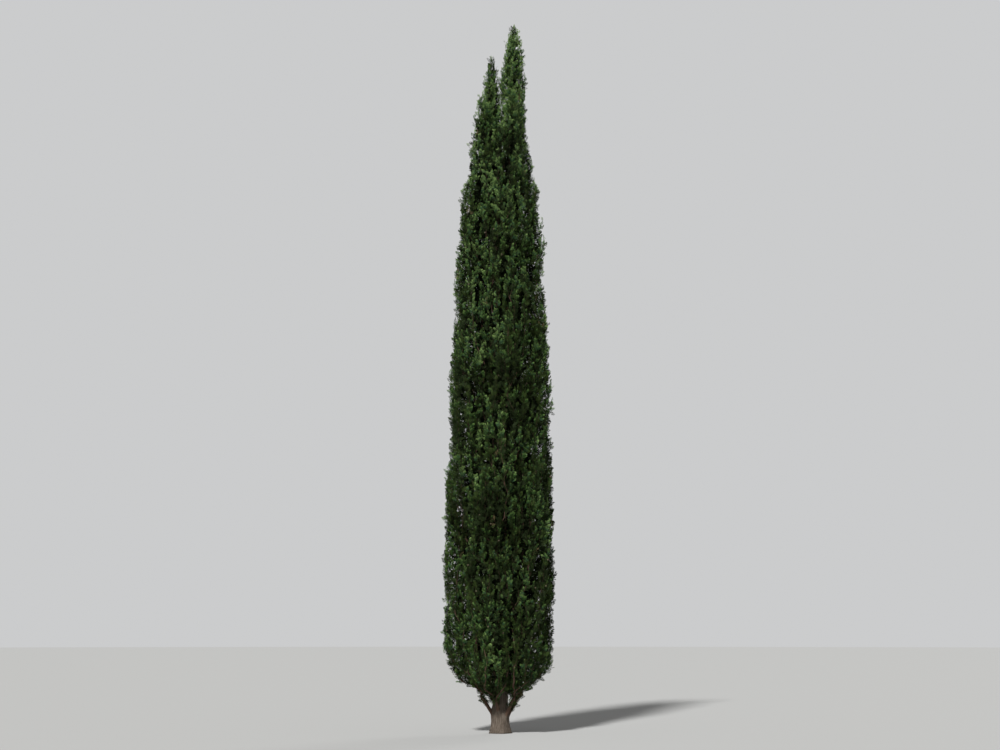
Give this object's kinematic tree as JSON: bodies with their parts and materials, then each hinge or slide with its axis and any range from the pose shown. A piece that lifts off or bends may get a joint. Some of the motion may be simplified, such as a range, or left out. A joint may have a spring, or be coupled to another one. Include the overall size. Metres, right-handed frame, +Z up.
{
  "type": "italian cypress tree",
  "caption": "Tall slender columnar evergreen tree with dense upright dark green foliage, a forked top and a short bare trunk, cut flat at ground level.",
  "frame": {"origin": "middle of the flat cut under the trunk, at ground level", "axes": "+Z up the trunk, -Y towards the picture's view, in which the main tip stands right of the second tip, +X to the right"},
  "size_m": [1.8835, 1.8687, 12],
  "materials": {
    "bark": "fibrous grey-brown bark in upright strips",
    "bough_bark": "thin red-brown bark",
    "foliage": "fine matt dark olive green scale leaves in upright sprays"
  },
  "bodies": {
    "root": {"trunk": "bark", "second_leader": "bough_bark", "bough_1": "bough_bark", "bough_2": "bough_bark", "bough_3": "bough_bark", "bough_4": "bough_bark", "bough_5": "bough_bark", "bough_6": "bough_bark", "foliage_skirt_1": "foliage", "foliage_skirt_2": "foliage", "foliage_skirt_3": "foliage", "foliage_skirt_4": "foliage", "foliage_skirt_5": "foliage", "foliage_skirt_6": "foliage", "foliage_lower_1": "foliage", "foliage_lower_2": "foliage", "foliage_lower_3": "foliage", "foliage_lower_4": "foliage", "foliage_lower_5": "foliage", "foliage_lower_6": "foliage", "foliage_middle_1": "foliage", "foliage_middle_2": "foliage", "foliage_middle_3": "foliage", "foliage_middle_4": "foliage", "foliage_middle_5": "foliage", "foliage_upper_1": "foliage", "foliage_upper_2": "foliage", "foliage_upper_3": "foliage", "foliage_upper_4": "foliage", "foliage_main_tip": "foliage", "foliage_second_tip": "foliage"}
  },
  "joints": []
}
